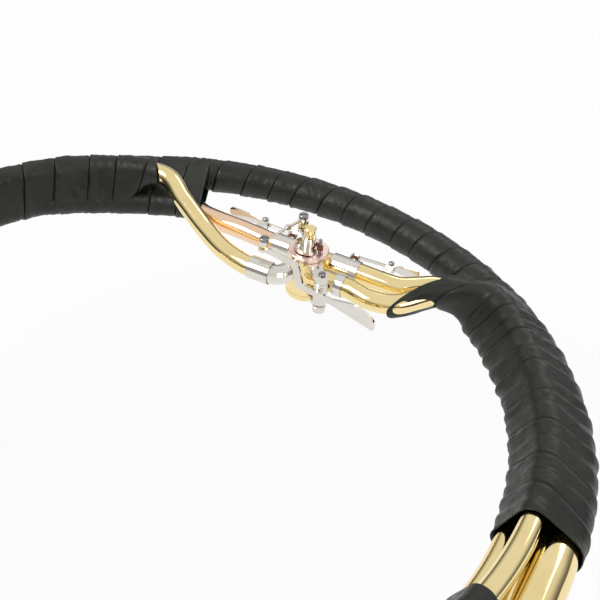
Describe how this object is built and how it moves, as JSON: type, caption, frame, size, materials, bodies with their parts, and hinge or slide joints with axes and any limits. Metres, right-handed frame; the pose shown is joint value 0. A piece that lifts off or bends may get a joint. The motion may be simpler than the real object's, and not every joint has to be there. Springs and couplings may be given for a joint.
{
  "type": "hunting horn",
  "caption": "Coiled brass hunting horn, leather wrapped, with a thumb-operated rotary changeover valve, water keys and a wide flared bell.",
  "frame": {"origin": "middle of the box round the whole horn, which lies in the plane of the outermost tube's centre line", "axes": "+Z along the coil's axis and the valve's axis, towards the spindle screw; +X along the valve's tubes; the bell opens towards -Y"},
  "size_m": [0.6168, 0.7107, 0.2844],
  "materials": {
    "brass": "polished and lacquered",
    "rose_brass": "polished red brass",
    "nickel_silver": "polished nickel silver",
    "copper": "polished copper",
    "steel": "blued and polished",
    "rubber": "matt",
    "wrapping": "satin, wound tape"
  },
  "bodies": {
    "horn": {"back_bearing": "nickel_silver", "bell": "brass", "bell_branch": "brass", "bell_ferrule": "nickel_silver", "bell_rim_wire": "brass", "front_left_ferrule": "nickel_silver", "front_left_tube": "brass", "front_right_ferrule": "nickel_silver", "front_right_tube": "brass", "lever_bracket_bottom": "nickel_silver", "lever_bracket_top": "nickel_silver", "lever_pivot_screw": "steel", "loop_bow": "brass", "main_bow_front": "brass", "main_bow_rear": "brass", "mouthpiece_receiver": "nickel_silver", "mouthpipe": "brass", "mouthpipe_ferrule": "nickel_silver", "port_elbow": "nickel_silver", "rear_left_ferrule": "nickel_silver", "rear_left_tube": "rose_brass", "rear_right_ferrule": "nickel_silver", "rear_right_tube": "brass", "spindle_bush": "nickel_silver", "stop_pin": "steel", "stop_sleeve": "rubber", "valve_bottom_cap": "brass", "valve_casing": "brass", "valve_top_plate": "copper", "water_key_left_nipple": "nickel_silver", "water_key_left_pin": "steel", "water_key_left_saddle": "nickel_silver", "water_key_right_nipple": "nickel_silver", "water_key_right_pin": "steel", "water_key_right_saddle": "nickel_silver", "wrap_arc": "wrapping", "wrap_fork": "wrapping", "wrap_front_left": "wrapping", "wrap_front_right": "wrapping", "wrap_left": "wrapping", "wrap_right": "wrapping"},
    "rotor_and_stop": {"rotor": "brass", "stop_arm": "nickel_silver", "spindle_screw": "brass", "link_cup": "brass", "link_screw_rear": "steel"},
    "link": {"link_rod": "nickel_silver", "link_nut": "nickel_silver", "link_screw_front": "steel"},
    "thumb_lever_body": {"thumb_lever": "nickel_silver", "lever_barrel": "nickel_silver", "lever_stud": "brass"},
    "water_key_left_body": {"water_key_left_lever": "nickel_silver", "water_key_left_pad": "rubber"},
    "water_key_right_body": {"water_key_right_lever": "nickel_silver", "water_key_right_pad": "rubber"},
    "mouthpiece_body": {"mouthpiece": "nickel_silver"}
  },
  "joints": [
    {"name": "rotor_turn", "type": "hinge", "parent": "horn", "child": "rotor_and_stop", "pos_m": [-0.04112, 0.26282, 0.02], "axis": [0, 0, 1], "range_deg": [-45, 45]},
    {"name": "link_swing", "type": "hinge", "parent": "rotor_and_stop", "child": "link", "pos_m": [-0.05128, 0.27387, 0.0298], "axis": [0, 0, 1], "range_deg": [-30, 30]},
    {"name": "lever_turn", "type": "hinge", "parent": "horn", "child": "thumb_lever_body", "pos_m": [-0.02172, 0.24262, 0.004], "axis": [0, 0, 1], "range_deg": [-15.1, 15.1]},
    {"name": "water_key_left_press", "type": "hinge", "parent": "horn", "child": "water_key_left_body", "pos_m": [-0.08412, 0.28672, 0.006], "axis": [0, 0, 1], "range_deg": [0, 8], "stiffness_Nm_per_rad": 0.03, "springref_deg": -28.65},
    {"name": "water_key_right_press", "type": "hinge", "parent": "horn", "child": "water_key_right_body", "pos_m": [0.00688, 0.28672, 0.006], "axis": [0, 0, -1], "range_deg": [0, 8], "stiffness_Nm_per_rad": 0.03, "springref_deg": -28.65},
    {"name": "mouthpiece_pull", "type": "slide", "parent": "horn", "child": "mouthpiece_body", "axis": [0, -1, 0], "range_m": [0, 0.025]}
  ],
  "couplings": [
    {"joint": "lever_turn", "follows": "rotor_turn", "ratio": 0.335},
    {"joint": "link_swing", "follows": "rotor_turn", "ratio": -0.66}
  ]
}
